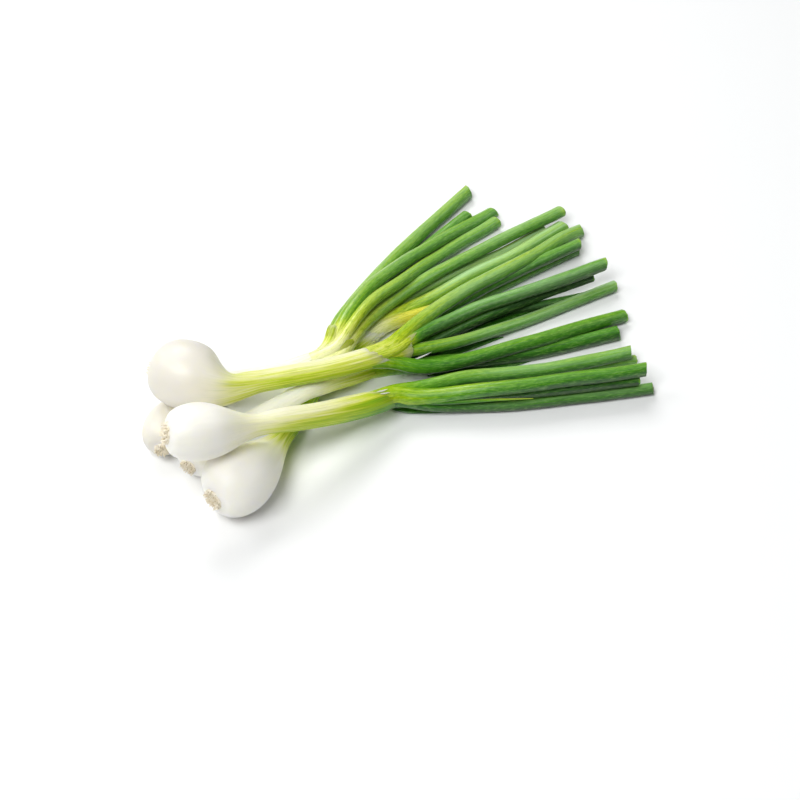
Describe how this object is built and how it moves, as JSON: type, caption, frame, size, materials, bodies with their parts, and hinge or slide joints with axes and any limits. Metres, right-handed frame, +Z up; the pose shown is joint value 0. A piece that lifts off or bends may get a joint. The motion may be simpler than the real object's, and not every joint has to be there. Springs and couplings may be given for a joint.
{
  "type": "spring onion bunch",
  "caption": "Bunch of spring onions lying down: white bulbs with root plates, pale stems that cross, and green tube leaves cut at their ends.",
  "frame": {"origin": "on the resting surface, under the middle of the bunch's box", "axes": "+X from the bulbs towards the cut leaf ends, +Z up from the surface"},
  "size_m": [0.2522, 0.229, 0.0601],
  "materials": {
    "bulb": "satin, waxy skin: white at the bulb, pale green-white up the stem",
    "roots": "dry and fibrous, tan",
    "leaf": "satin, waxy, yellow-green at the fork to deep green at the tips"
  },
  "bodies": {
    "root": {"near_bulb": "bulb", "near_roots": "roots", "near_leaf_1": "leaf", "near_leaf_2": "leaf", "near_leaf_3": "leaf", "under_bulb": "bulb", "under_roots": "roots", "under_leaf_1": "leaf", "under_leaf_2": "leaf", "under_leaf_3": "leaf", "left_bulb": "bulb", "left_roots": "roots", "left_leaf_1": "leaf", "left_leaf_2": "leaf", "left_leaf_3": "leaf", "left_leaf_4": "leaf", "left_leaf_5": "leaf", "back_bulb": "bulb", "back_roots": "roots", "back_leaf_1": "leaf", "back_leaf_2": "leaf", "back_leaf_3": "leaf", "back_leaf_4": "leaf", "back_leaf_5": "leaf", "top_bulb": "bulb", "top_roots": "roots", "top_leaf_1": "leaf", "top_leaf_2": "leaf", "top_leaf_3": "leaf", "top_leaf_4": "leaf", "top_leaf_5": "leaf", "top_leaf_6": "leaf"}
  },
  "joints": []
}
